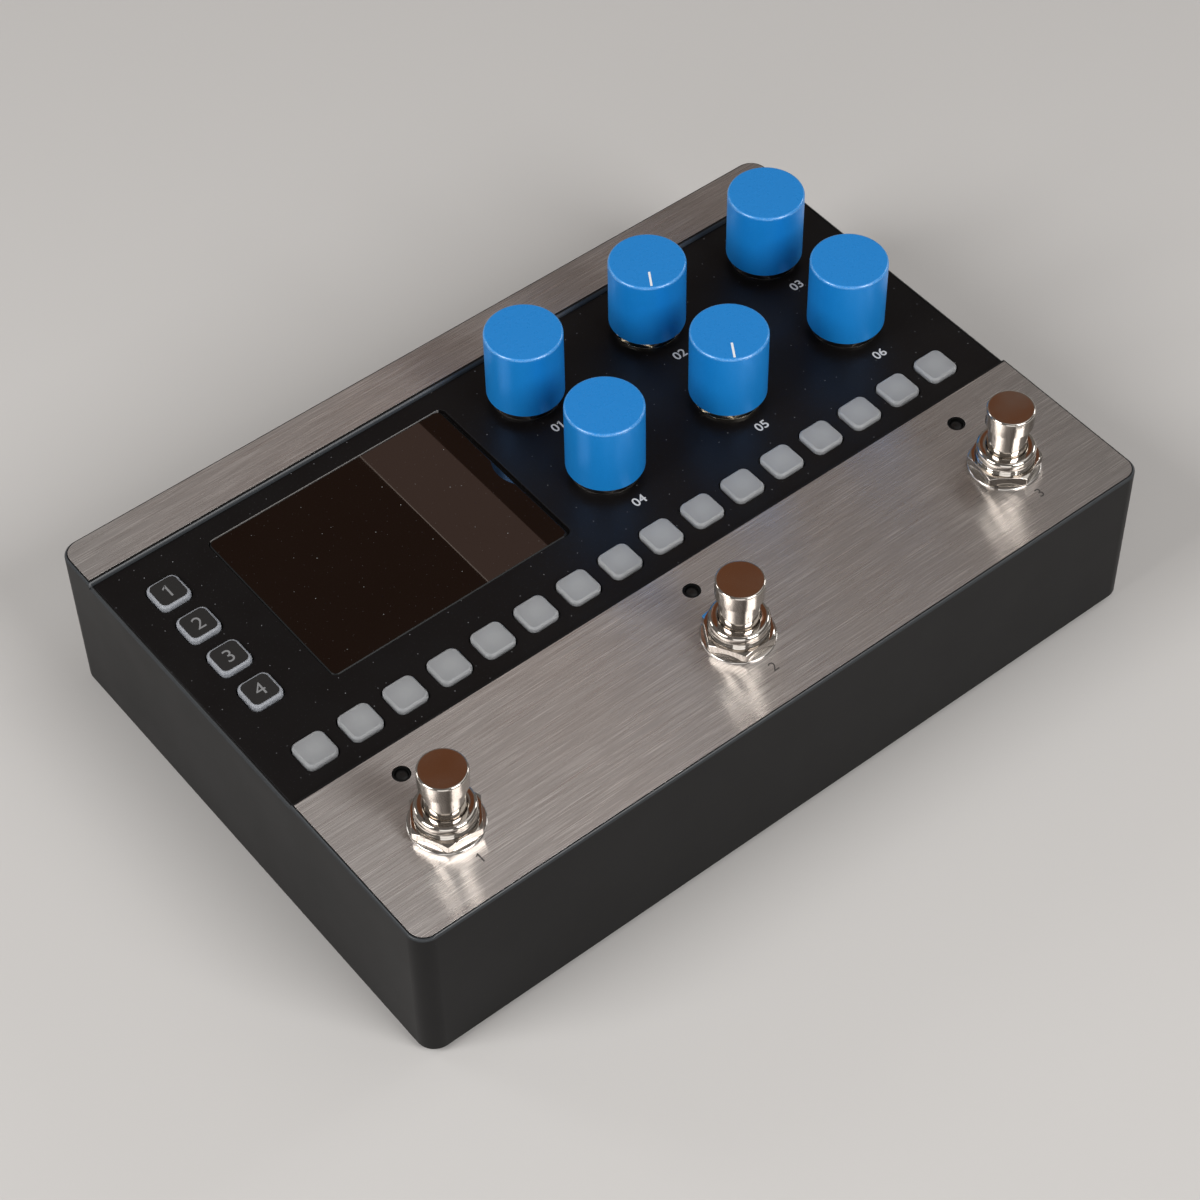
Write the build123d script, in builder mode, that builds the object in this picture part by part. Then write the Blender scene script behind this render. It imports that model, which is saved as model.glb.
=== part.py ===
"""Drum machine pedal: a black metal tub with steel trim, a keyed control panel and three footswitches.

The frame has +X to the player's right, +Y to the rear and +Z up. The origin is at the middle of the
whole outline, on the surface that the rubber feet stand on. Lengths are millimetres.
"""

import os
from math import sqrt

from build123d import *

os.makedirs("parts", exist_ok=True)

# Housing: a one-piece tub, open below
housing_height = 36.7
housing_corner = 4.0
housing_wall = 2.8
housing_roof = 4.2
edge_bevel = 0.5
lower_bevel = 0.3
front_land = 40.0
rear_land = 11.3
channel_drop = 0.8
step_bevel = 0.5
boss_radius = 3.2
boss_wall_share = 0.8

# Brushed trim plates, let into the two lands
trim_thickness = 1.0
trim_proud = 0.1
trim_edge = 0.6
trim_rim = 0.4
trim_gap = 0.1

# Control panel, let into the channel between the lands
panel_thickness = 2.0
panel_edge = 0.8
panel_gap = 0.1
panel_ledge = 2.5

# Keys: a row of step keys and a column of numbered keys, all alike in plan
step_key_count = 16
number_key_count = 4
key_pitch = 10.43
key_size = 7.1
key_corner = 1.6
key_bevel = 0.4
step_key_rise = 0.9
number_key_rise = 1.0
key_clearance = 0.3
key_flange = 0.7
key_flange_thickness = 1.0
key_flange_gap = 0.15
key_post_radius = 1.6
key_travel = 0.5
key_spare = 0.3
key_left_margin = 11.28
key_right_margin = 12.27
step_row_margin = 7.9
number_key_offset = 5.88
number_key_rear_margin = 6.15

# Display: flush glass over a screen module
display_width = 57.0
display_height = 43.35
display_corner = 1.4
display_left_margin = 24.2
display_front_gap = 12.05
display_rear_margin = 5.4
glass_thickness = 1.1
glass_bevel = 0.3
glass_gap = 0.08
glass_side_play = 0.7
glass_ledge = 1.6
module_margin = 1.6
module_thickness = 3.2
module_gap = 0.15

# Knobs on their shafts
knob_radius = 8.1
knob_height = 16.5
knob_lift = 2.3
knob_rim = 0.5
knob_foot_bevel = 0.25
knob_recess_radius = 6.5
knob_recess_depth = 3.6
knob_crown = 3.0
knob_column_gap = 16.15
knob_side_margin = 18.5
knob_front_offset = 8.85
knob_rear_offset = 8.4
pointer_length = 4.1
pointer_width = 0.55
pointer_depth = 0.25
pointer_inset = 0.7
pointer_angle = -122.0
shaft_radius = 3.0
shaft_flat = 1.5
shaft_gap = 0.02
shaft_running = 0.04
shaft_end_gap = 0.3

# Encoders and potentiometers under the panel
control_height = 6.5
encoder_width = 12.4
encoder_length = 13.2
pot_width = 9.8
pot_length = 12.0
control_bush_radius = 3.5
control_bush_rise = 5.0
control_bore_depth = 4.2
control_nut_flats = 12.0
control_nut_thickness = 1.6
control_nut_bevel = 0.6
control_flange_radius = 7.1
control_flange_thickness = 0.5
thread_gap = 0.05

# Boards
board_thickness = 1.6
board_margin = 2.5
board_side_gap = 2.0
main_board_depth = 34.0
main_board_setback = 2.0
main_board_side_gap = 1.0
switch_size = 6.0
switch_height = 3.5
switch_button_radius = 1.7
spacer_radius = 2.5
spacer_gap = 1.5

# Footswitches
footswitch_side_margin = 20.3
footswitch_front_margin = 18.9
cap_radius = 4.85
cap_length = 4.0
cap_rim = 0.35
plunger_rise = 16.2
stem_radius = 4.0
stem_running = 0.05
shoulder_radius = 5.0
shoulder_length = 2.0
shoulder_gap = 0.3
footswitch_travel = 2.5
footswitch_bush_radius = 6.0
footswitch_bush_rise = 5.7
footswitch_lip = 0.8
footswitch_can = 17.0
footswitch_can_corner = 1.0
footswitch_can_height = 15.0
can_shell = 2.0
cavity_radius = 5.4
footswitch_nut_flats = 13.1
footswitch_nut_thickness = 2.3
footswitch_nut_bevel = 0.8
footswitch_nut_turns = (56.0, 0.0, 22.0)
washer_radius = 7.5
washer_thickness = 0.35
washer_bevel = 0.12

# Status lights behind the footswitches, each a lens sunk in a black holder
light_offset = 14.0
light_radius = 1.75
light_hole_gap = 0.1
light_recess = 0.1
light_flange_radius = 2.5
light_flange_thickness = 1.0
lens_radius = 1.4
lens_recess = 0.6

# Rear sockets
jack_side_margin = 20.0
jack_pitch = 22.0
jack_width = 15.6
jack_height = 12.6
jack_length = 24.0
jack_bush_radius = 4.75
jack_bore_radius = 3.22
jack_bore_depth = 26.0
jack_proud = 0.8
jack_nut_flats = 12.7
jack_nut_thickness = 2.4
jack_nut_bevel = 0.7
midi_first_x = -24.0
midi_pitch = 13.0
midi_width = 11.5
midi_height = 9.0
midi_length = 13.0
midi_nose_radius = 3.0
midi_bore_radius = 1.78
midi_bore_depth = 14.0
power_x = 24.0
power_width = 9.0
power_height = 11.0
power_length = 13.5
power_gap = 0.3
power_bore_radius = 3.1
power_bore_depth = 9.5
power_pin_radius = 1.0
power_pin_length = 8.5
power_hole_radius = 5.7
data_x = 6.0
data_width = 8.94
data_height = 3.26
data_corner = 1.5
data_shell = 0.3
data_length = 7.4
data_depth = 6.2
data_tongue_width = 6.7
data_tongue_thickness = 0.7
data_tongue_length = 5.2
data_slot_width = 12.8
data_slot_height = 7.0
data_slot_corner = 2.6
socket_hole_gap = 0.15

# Base plate, its screws and the rubber feet
foot_stand = 1.2
base_thickness = 1.5
base_recess = 0.2
base_lip = 1.1
base_gap = 0.15
screw_radius = 1.45
screw_length = 9.0
screw_head_radius = 2.8
screw_head_height = 1.3
screw_socket_radius = 1.15
screw_socket_depth = 0.9
foot_radius = 6.0
foot_margin = 16.0
foot_bevel = 0.3

# How far every cut runs past the solid that it opens
overrun = 1.0

# Overall size, added up from what the housing carries
number_column = number_key_offset + (number_key_count - 1) * key_pitch + number_key_rear_margin
panel_field = max(display_height, number_column)
channel_depth = step_row_margin + display_front_gap + panel_field + display_rear_margin
housing_width = key_left_margin + (step_key_count - 1) * key_pitch + key_right_margin
housing_depth = front_land + channel_depth + rear_land
rear_reach = jack_nut_thickness + jack_proud

# Levels
bottom_z = foot_stand
top_z = bottom_z + housing_height
roof_z = top_z - housing_roof
trim_z = top_z + trim_proud
panel_z = top_z - channel_drop
panel_under_z = panel_z - panel_thickness
board_z = panel_under_z - control_height
board_under_z = board_z - board_thickness
base_under_z = bottom_z + base_recess
base_top_z = base_under_z + base_thickness
knob_z = panel_z + knob_lift
shaft_top_z = knob_z + knob_height - knob_crown - shaft_end_gap
jack_z = (base_top_z + board_under_z + board_thickness) / 2
main_board_z = jack_z - jack_height / 2
midi_z = main_board_z + midi_height / 2
data_z = main_board_z + data_height / 2

# Places across the housing
left_x = -housing_width / 2
right_x = housing_width / 2
display_x = left_x + display_left_margin + display_width / 2
knob_left_x = left_x + display_left_margin + display_width + knob_column_gap
knob_right_x = right_x - knob_side_margin
knob_columns = (knob_left_x, (knob_left_x + knob_right_x) / 2, knob_right_x)
footswitch_x = right_x - footswitch_side_margin
number_key_x = left_x + key_left_margin

# Places from front to rear
front_y = -(housing_depth + rear_reach) / 2
rear_y = front_y + housing_depth
middle_y = front_y + housing_depth / 2
rear_inner_y = rear_y - housing_wall
channel_front_y = front_y + front_land
channel_rear_y = channel_front_y + channel_depth - step_bevel
channel_middle_y = (channel_front_y + channel_rear_y) / 2
step_row_y = channel_front_y + step_row_margin
display_front_y = step_row_y + display_front_gap
display_y = display_front_y + display_height / 2
knob_front_y = display_front_y + knob_front_offset
knob_rear_y = display_front_y + panel_field - knob_rear_offset
footswitch_y = front_y + footswitch_front_margin

# Points that several pieces share
step_key_points = [(left_x + key_left_margin + n * key_pitch, step_row_y) for n in range(step_key_count)]
number_key_points = [
    (number_key_x, display_front_y + number_key_offset + n * key_pitch)
    for n in reversed(range(number_key_count))
]
key_points = step_key_points + number_key_points
encoder_points = [(x, y) for x in (knob_left_x, knob_right_x) for y in (knob_front_y, knob_rear_y)]
pot_points = [(knob_columns[1], knob_front_y), (knob_columns[1], knob_rear_y)]
control_points = encoder_points + pot_points
footswitch_points = [(-footswitch_x, footswitch_y), (0, footswitch_y), (footswitch_x, footswitch_y)]
light_points = [(x, y + light_offset) for x, y in footswitch_points]
jack_xs = (
    left_x + jack_side_margin,
    left_x + jack_side_margin + jack_pitch,
    right_x - jack_side_margin - jack_pitch,
    right_x - jack_side_margin,
)
midi_xs = (midi_first_x, midi_first_x + midi_pitch)
boss_inset = housing_wall + boss_wall_share * boss_radius
boss_points = [
    (side * (right_x - boss_inset), middle_y + end * (housing_depth / 2 - boss_inset))
    for side in (-1, 1)
    for end in (-1, 1)
]
foot_points = [
    (side * (right_x - foot_margin), middle_y + end * (housing_depth / 2 - foot_margin))
    for side in (-1, 1)
    for end in (-1, 1)
]
number_key_edge_x = number_key_x + key_size / 2 + key_flange
module_edge_x = display_x - display_width / 2 - module_margin
spacer_xs = (
    (number_key_edge_x + module_edge_x) / 2,
    knob_right_x + encoder_width / 2 + spacer_gap + spacer_radius,
)
spacer_points = [(x, y) for x in spacer_xs for y in (knob_front_y, knob_rear_y)]


def housing_outline(inset, from_y, to_y):
    """Plan of the housing drawn in by an inset, kept between two lines across it."""
    with BuildSketch() as outline:
        with Locations((0, middle_y)):
            RectangleRounded(
                housing_width - 2 * inset, housing_depth - 2 * inset, housing_corner - inset
            )
        with Locations((0, (from_y + to_y) / 2)):
            Rectangle(housing_width, to_y - from_y, mode=Mode.INTERSECT)
    return outline.sketch


def shaft_section(growth):
    """Round shaft with one flat, grown all round by a gap."""
    radius = shaft_radius + growth
    with BuildSketch() as section:
        Circle(radius)
        with Locations((0, shaft_flat + growth)):
            Rectangle(2 * radius, radius, align=(Align.CENTER, Align.MIN), mode=Mode.SUBTRACT)
    return section.sketch


def hex_nut(flats, thickness, hole_radius, bevel, two_sided=False):
    """Hexagon nut on the XY plane, its upper corners, and the lower if asked, turned down to a bevel."""
    corner = flats / sqrt(3)
    with BuildPart() as turned:
        Cylinder(corner, thickness, align=(Align.CENTER, Align.CENTER, Align.MIN))
        ends = turned.faces().filter_by(Axis.Z).sort_by(Axis.Z)
        for end in ends if two_sided else ends[-1:]:
            chamfer(end.edges(), bevel, bevel / 2, reference=end)
    with BuildPart() as nut:
        with BuildSketch():
            RegularPolygon(corner, 6)
            Circle(hole_radius, mode=Mode.SUBTRACT)
        extrude(amount=thickness)
        add(turned.part, mode=Mode.INTERSECT)
    return nut.part


# The tub: walls and roof, the channel across its top, pockets for the trim and panel, and every hole
with BuildPart() as housing:
    with BuildSketch(Plane.XY.offset(bottom_z)):
        add(housing_outline(0, front_y, rear_y))
    extrude(amount=housing_height)
    chamfer(housing.faces().sort_by(Axis.Z)[-1].edges(), edge_bevel)
    chamfer(housing.faces().sort_by(Axis.Z)[0].edges(), lower_bevel)
    with BuildSketch(Plane.XY.offset(bottom_z)):
        add(housing_outline(housing_wall, front_y, rear_y))
    extrude(amount=housing_height - housing_roof, mode=Mode.SUBTRACT)
    with BuildSketch(Plane.YZ.offset(left_x)):
        with BuildLine():
            Polyline(
                (channel_front_y, top_z + overrun),
                (channel_front_y, panel_z),
                (channel_rear_y, panel_z),
                (channel_rear_y + step_bevel, top_z),
                (channel_rear_y + step_bevel, top_z + overrun),
                close=True,
            )
        make_face()
    extrude(amount=housing_width, mode=Mode.SUBTRACT)
    with BuildSketch(Plane.XZ.offset(-channel_rear_y)):
        for side in (-1, 1):
            with BuildLine():
                Polyline(
                    (side * (right_x - edge_bevel), panel_z),
                    (side * (right_x + edge_bevel), panel_z),
                    (side * (right_x + edge_bevel), panel_z - 2 * edge_bevel),
                    close=True,
                )
            make_face()
    extrude(amount=channel_rear_y - channel_front_y, mode=Mode.SUBTRACT)
    for from_y, to_y in (
        (front_y + trim_edge, channel_front_y - trim_rim),
        (channel_rear_y + step_bevel + trim_rim, rear_y - trim_edge),
    ):
        with BuildSketch(Plane.XY.offset(trim_z - trim_thickness)):
            add(housing_outline(trim_edge, from_y, to_y))
        extrude(amount=trim_thickness, mode=Mode.SUBTRACT)
    with BuildSketch(Plane.XY.offset(panel_under_z)):
        with Locations((0, channel_middle_y)):
            Rectangle(housing_width - 2 * panel_edge, channel_rear_y - channel_front_y)
    extrude(amount=panel_thickness, mode=Mode.SUBTRACT)
    with BuildSketch(Plane.XY.offset(roof_z)):
        with Locations((0, channel_middle_y)):
            Rectangle(
                housing_width - 2 * panel_edge - 2 * panel_ledge,
                channel_rear_y - channel_front_y - 2 * panel_ledge,
            )
    extrude(amount=panel_under_z - roof_z, mode=Mode.SUBTRACT)
    with BuildSketch(Plane.XY.offset(roof_z)):
        with Locations(*footswitch_points):
            Circle(footswitch_bush_radius + thread_gap)
        with Locations(*light_points):
            Circle(light_radius + light_hole_gap)
    extrude(amount=housing_roof, mode=Mode.SUBTRACT)
    with BuildSketch(Plane.XY.offset(roof_z)):
        with Locations(*boss_points):
            Circle(boss_radius)
    extrude(amount=bottom_z - roof_z)
    with BuildSketch(Plane.XY.offset(bottom_z)):
        add(housing_outline(base_lip, front_y, rear_y))
    extrude(amount=base_recess + base_thickness, mode=Mode.SUBTRACT)
    with BuildSketch(Plane.XY.offset(base_top_z)):
        with Locations(*boss_points):
            Circle(screw_radius + thread_gap)
    extrude(amount=screw_length, mode=Mode.SUBTRACT)
    with BuildSketch(Plane.XZ.offset(-rear_y)):
        with Locations(*[(x, jack_z) for x in jack_xs]):
            Circle(jack_bush_radius + socket_hole_gap)
        with Locations(*[(x, midi_z) for x in midi_xs]):
            Circle(midi_nose_radius + socket_hole_gap)
        with Locations((power_x, jack_z)):
            Circle(power_hole_radius)
        with Locations((data_x, data_z)):
            RectangleRounded(data_slot_width, data_slot_height, data_slot_corner)
    extrude(amount=housing_wall, mode=Mode.SUBTRACT)
housing.part.label = "housing"
export_step(housing.part, "parts/housing.step")

# Steel trim on the front land, drilled for the footswitches and their lights
with BuildPart() as front_trim_plate:
    with BuildSketch(Plane.XY.offset(trim_z - trim_thickness)):
        add(
            housing_outline(
                trim_edge + trim_gap,
                front_y + trim_edge + trim_gap,
                channel_front_y - trim_rim - trim_gap,
            )
        )
        with Locations(*footswitch_points):
            Circle(footswitch_bush_radius + thread_gap, mode=Mode.SUBTRACT)
        with Locations(*light_points):
            Circle(light_radius + light_hole_gap, mode=Mode.SUBTRACT)
    extrude(amount=trim_thickness)
front_trim_plate.part.label = "front_trim_plate"
export_step(front_trim_plate.part, "parts/front_trim_plate.step")

# Narrow steel trim on the rear land
with BuildPart() as rear_trim_plate:
    with BuildSketch(Plane.XY.offset(trim_z - trim_thickness)):
        add(
            housing_outline(
                trim_edge + trim_gap,
                channel_rear_y + step_bevel + trim_rim + trim_gap,
                rear_y - trim_edge - trim_gap,
            )
        )
    extrude(amount=trim_thickness)
rear_trim_plate.part.label = "rear_trim_plate"
export_step(rear_trim_plate.part, "parts/rear_trim_plate.step")

# Control panel with its key holes, shaft holes and the rebated display opening
with BuildPart() as control_panel:
    with BuildSketch(Plane.XY.offset(panel_under_z)):
        with Locations((0, channel_middle_y)):
            Rectangle(
                housing_width - 2 * panel_edge - 2 * panel_gap,
                channel_rear_y - channel_front_y - 2 * panel_gap,
            )
        with Locations(*key_points):
            RectangleRounded(
                key_size + 2 * key_clearance,
                key_size + 2 * key_clearance,
                key_corner + key_clearance,
                mode=Mode.SUBTRACT,
            )
        with Locations(*control_points):
            Circle(control_bush_radius + thread_gap, mode=Mode.SUBTRACT)
        with Locations((display_x, display_y)):
            Rectangle(
                display_width - 2 * glass_ledge, display_height - 2 * glass_ledge, mode=Mode.SUBTRACT
            )
    extrude(amount=panel_thickness)
    with BuildSketch(Plane.XY.offset(panel_z)):
        with Locations((display_x + glass_side_play / 2, display_y)):
            RectangleRounded(
                display_width + 2 * glass_gap + glass_side_play,
                display_height + 2 * glass_gap,
                display_corner + glass_gap,
            )
    extrude(amount=-glass_thickness, mode=Mode.SUBTRACT)
control_panel.part.label = "control_panel"
export_step(control_panel.part, "parts/control_panel.step")

# Glass, flush with the panel
with BuildPart() as display_window:
    with BuildSketch(Plane.XY.offset(panel_z)):
        with Locations((display_x, display_y)):
            RectangleRounded(display_width, display_height, display_corner)
    extrude(amount=-glass_thickness)
    chamfer(display_window.faces().sort_by(Axis.Z)[-1].edges(), glass_bevel)
display_window.part.label = "display_window"
export_step(display_window.part, "parts/display_window.step")

# Screen module: a frame against the panel's underside, its screen raised into the opening
with BuildPart() as display_module:
    with BuildSketch(Plane.XY.offset(panel_under_z)):
        with Locations((display_x, display_y)):
            Rectangle(display_width + 2 * module_margin, display_height + 2 * module_margin)
    extrude(amount=-module_thickness)
    with BuildSketch(Plane.XY.offset(panel_under_z)):
        with Locations((display_x, display_y)):
            Rectangle(
                display_width - 2 * glass_ledge - 2 * module_gap,
                display_height - 2 * glass_ledge - 2 * module_gap,
            )
    extrude(amount=panel_thickness - glass_thickness - module_gap)
display_module.part.label = "display_module"
export_step(display_module.part, "parts/display_module.step")

# Panel board, soldered under the encoders and potentiometers
board_front_y = step_row_y - switch_size / 2 - board_margin
board_rear_y = knob_rear_y + encoder_length / 2 + board_margin
with BuildPart() as panel_board:
    with BuildSketch(Plane.XY.offset(board_z)):
        with Locations((0, (board_front_y + board_rear_y) / 2)):
            Rectangle(housing_width - 2 * housing_wall - 2 * board_side_gap, board_rear_y - board_front_y)
    extrude(amount=-board_thickness)
panel_board.part.label = "panel_board"
export_step(panel_board.part, "parts/panel_board.step")

# Spacers that hold the panel and its board apart
with BuildPart() as board_spacers:
    with BuildSketch(Plane.XY.offset(board_z)):
        with Locations(*spacer_points):
            Circle(spacer_radius)
    extrude(amount=control_height)
board_spacers.part.label = "board_spacers"
export_step(board_spacers.part, "parts/board_spacers.step")

# One key: a cap through the panel, a flange that keeps it in, and a post over its switch
key_flange_z = panel_under_z - key_flange_gap
switch_top_z = key_flange_z - key_flange_thickness - 2 * (key_travel + key_spare)
key_post_z = switch_top_z + key_travel + key_spare


def build_key(x, y, rise, name):
    """Key at a point of the panel, standing a given rise above it."""
    with BuildPart() as key:
        with BuildSketch(Plane.XY.offset(key_flange_z)):
            with Locations((x, y)):
                RectangleRounded(key_size, key_size, key_corner)
        extrude(amount=panel_z + rise - key_flange_z)
        chamfer(key.faces().sort_by(Axis.Z)[-1].edges(), key_bevel)
        with BuildSketch(Plane.XY.offset(key_flange_z)):
            with Locations((x, y)):
                Rectangle(key_size + 2 * key_flange, key_size + 2 * key_flange)
        extrude(amount=-key_flange_thickness)
        with BuildSketch(Plane.XY.offset(key_flange_z - key_flange_thickness)):
            with Locations((x, y)):
                Circle(key_post_radius)
        extrude(amount=key_post_z - key_flange_z + key_flange_thickness)
    key.part.label = name
    export_step(key.part, f"parts/{name}.step")


for place, (x, y) in enumerate(step_key_points, start=1):
    build_key(x, y, step_key_rise, f"step_key_{place:02d}")
for place, (x, y) in enumerate(number_key_points, start=1):
    build_key(x, y, number_key_rise, f"number_key_{place}")

# Key switches on the panel board, one under each key
with BuildPart() as key_switches:
    with BuildSketch(Plane.XY.offset(board_z)):
        with Locations(*key_points):
            Rectangle(switch_size, switch_size)
    extrude(amount=switch_height)
    with BuildSketch(Plane.XY.offset(board_z)):
        with Locations(*key_points):
            Circle(switch_button_radius)
    extrude(amount=switch_top_z - board_z)
key_switches.part.label = "key_switches"
export_step(key_switches.part, "parts/key_switches.step")


def build_control_bodies(points, width, length, name):
    """Encoder or potentiometer bodies: a can on the board and a bush through the panel."""
    with BuildPart() as bodies:
        with BuildSketch(Plane.XY.offset(board_z)):
            with Locations(*points):
                Rectangle(width, length)
        extrude(amount=control_height)
        with BuildSketch(Plane.XY.offset(panel_under_z)):
            with Locations(*points):
                Circle(control_bush_radius)
        extrude(amount=control_bush_rise)
        with BuildSketch(Plane.XY.offset(panel_under_z + control_bush_rise)):
            with Locations(*points):
                Circle(shaft_radius + shaft_running)
        extrude(amount=-control_bush_rise - control_bore_depth, mode=Mode.SUBTRACT)
    bodies.part.label = name
    export_step(bodies.part, f"parts/{name}.step")


build_control_bodies(encoder_points, encoder_width, encoder_length, "encoder_bodies")
build_control_bodies(pot_points, pot_width, pot_length, "potentiometer_bodies")

# Flanged nuts that clamp the bushes to the panel
control_nut = hex_nut(
    control_nut_flats, control_nut_thickness, control_bush_radius + thread_gap, control_nut_bevel
)
with BuildPart() as control_nuts:
    with BuildSketch(Plane.XY.offset(panel_z)):
        with Locations(*control_points):
            Circle(control_flange_radius)
            Circle(control_bush_radius + thread_gap, mode=Mode.SUBTRACT)
    extrude(amount=control_flange_thickness)
    with Locations(*[(x, y, panel_z + control_flange_thickness) for x, y in control_points]):
        add(control_nut)
control_nuts.part.label = "control_nuts"
export_step(control_nuts.part, "parts/control_nuts.step")


def build_shaft(x, y, name):
    """Round shaft in its bush, with a flat where it drives the knob."""
    shaft_foot_z = panel_under_z - control_bore_depth + shaft_end_gap
    with BuildPart() as shaft:
        with BuildSketch(Plane.XY.offset(shaft_foot_z)):
            with Locations((x, y)):
                Circle(shaft_radius)
        extrude(amount=panel_under_z + control_bush_rise - shaft_foot_z)
        with BuildSketch(Plane.XY.offset(panel_under_z + control_bush_rise)):
            with Locations((x, y)):
                add(shaft_section(0))
        extrude(amount=shaft_top_z - panel_under_z - control_bush_rise)
    shaft.part.label = name
    export_step(shaft.part, f"parts/{name}.step")


def build_knob(x, y, name, pointed):
    """Plain turned knob, hollow below to clear its nut, with a milled pointer on its top if asked."""
    with BuildPart() as knob:
        with BuildSketch(Plane.XY.offset(knob_z)):
            with Locations((x, y)):
                Circle(knob_radius)
        extrude(amount=knob_height)
        chamfer(knob.faces().sort_by(Axis.Z)[-1].edges(), knob_rim)
        chamfer(knob.faces().sort_by(Axis.Z)[0].edges(), knob_foot_bevel)
        with BuildSketch(Plane.XY.offset(knob_z)):
            with Locations((x, y)):
                Circle(knob_recess_radius)
        extrude(amount=knob_recess_depth, mode=Mode.SUBTRACT)
        with BuildSketch(Plane.XY.offset(knob_z)):
            with Locations((x, y)):
                add(shaft_section(shaft_gap))
        extrude(amount=knob_height - knob_crown, mode=Mode.SUBTRACT)
        if pointed:
            pointer_middle = knob_radius - pointer_inset - pointer_length / 2
            with BuildSketch(Plane.XY.offset(knob_z + knob_height)):
                with Locations(Location((x, y), pointer_angle)):
                    with Locations((pointer_middle, 0)):
                        Rectangle(pointer_length, pointer_width)
            extrude(amount=-pointer_depth, mode=Mode.SUBTRACT)
    knob.part.label = name
    export_step(knob.part, f"parts/{name}.step")


for row, y in (("front", knob_front_y), ("rear", knob_rear_y)):
    for column, x in zip(("left", "middle", "right"), knob_columns):
        build_knob(x, y, f"knob_{row}_{column}", pointed=column == "middle")
        build_shaft(x, y, f"shaft_{row}_{column}")

# Footswitch bodies: a can under the roof, one with the threaded bush and its rounded lip
with BuildPart() as footswitch_bodies:
    with BuildSketch(Plane.XY.offset(roof_z)):
        with Locations(*footswitch_points):
            Circle(footswitch_bush_radius)
    extrude(amount=trim_z + footswitch_bush_rise - roof_z)
    fillet(footswitch_bodies.faces().filter_by(Axis.Z).group_by(Axis.Z)[-1].edges(), footswitch_lip)
    with BuildSketch(Plane.XY.offset(roof_z)):
        with Locations(*footswitch_points):
            RectangleRounded(footswitch_can, footswitch_can, footswitch_can_corner)
    extrude(amount=-footswitch_can_height)
    with BuildSketch(Plane.XY.offset(roof_z - can_shell)):
        with Locations(*footswitch_points):
            Circle(cavity_radius)
    extrude(amount=-footswitch_can_height + 2 * can_shell, mode=Mode.SUBTRACT)
    with BuildSketch(Plane.XY.offset(roof_z - can_shell)):
        with Locations(*footswitch_points):
            Circle(stem_radius + stem_running)
    extrude(amount=trim_z + footswitch_bush_rise - roof_z + can_shell, mode=Mode.SUBTRACT)
footswitch_bodies.part.label = "footswitch_bodies"
export_step(footswitch_bodies.part, "parts/footswitch_bodies.step")

# Round washers on the trim plate
with BuildPart() as footswitch_washers:
    with BuildSketch(Plane.XY.offset(trim_z)):
        with Locations(*footswitch_points):
            Circle(washer_radius)
            Circle(footswitch_bush_radius + thread_gap, mode=Mode.SUBTRACT)
    extrude(amount=washer_thickness)
    upper_edges = footswitch_washers.faces().filter_by(Axis.Z).group_by(Axis.Z)[-1].edges()
    chamfer(upper_edges.filter_by(lambda edge: edge.radius == washer_radius), washer_bevel)
footswitch_washers.part.label = "footswitch_washers"
export_step(footswitch_washers.part, "parts/footswitch_washers.step")

# Hexagon nuts over the washers, each left at its own turn
footswitch_nut = hex_nut(
    footswitch_nut_flats,
    footswitch_nut_thickness,
    footswitch_bush_radius + thread_gap,
    footswitch_nut_bevel,
    two_sided=True,
)
with BuildPart() as footswitch_nuts:
    for (x, y), turn in zip(footswitch_points, footswitch_nut_turns):
        with Locations(Location((x, y, trim_z + washer_thickness), (0, 0, turn))):
            add(footswitch_nut)
footswitch_nuts.part.label = "footswitch_nuts"
export_step(footswitch_nuts.part, "parts/footswitch_nuts.step")


def build_plunger(x, y, name):
    """Turned plunger: a shoulder inside the can, the stem, and the wider cap for the foot."""
    shoulder_z = roof_z - can_shell - shoulder_gap
    cap_z = trim_z + plunger_rise - cap_length
    with BuildPart() as plunger:
        with BuildSketch(Plane.XY.offset(cap_z)):
            with Locations((x, y)):
                Circle(cap_radius)
        extrude(amount=cap_length)
        chamfer(plunger.faces().sort_by(Axis.Z)[-1].edges(), cap_rim)
        with BuildSketch(Plane.XY.offset(shoulder_z)):
            with Locations((x, y)):
                Circle(stem_radius)
        extrude(amount=cap_z - shoulder_z)
        with BuildSketch(Plane.XY.offset(shoulder_z)):
            with Locations((x, y)):
                Circle(shoulder_radius)
        extrude(amount=-shoulder_length)
    plunger.part.label = name
    export_step(plunger.part, f"parts/{name}.step")


for side, (x, y) in zip(("left", "middle", "right"), footswitch_points):
    build_plunger(x, y, f"footswitch_plunger_{side}")

# Status lights, flanged under the roof, their lenses sunk below the trim
light_top_z = trim_z - light_recess
with BuildPart() as status_lights:
    with BuildSketch(Plane.XY.offset(roof_z)):
        with Locations(*light_points):
            Circle(light_flange_radius)
    extrude(amount=-light_flange_thickness)
    with BuildSketch(Plane.XY.offset(roof_z)):
        with Locations(*light_points):
            Circle(light_radius)
    extrude(amount=light_top_z - roof_z)
    with BuildSketch(Plane.XY.offset(light_top_z)):
        with Locations(*light_points):
            Circle(lens_radius)
    extrude(amount=-lens_recess, mode=Mode.SUBTRACT)
status_lights.part.label = "status_lights"
export_step(status_lights.part, "parts/status_lights.step")

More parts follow.
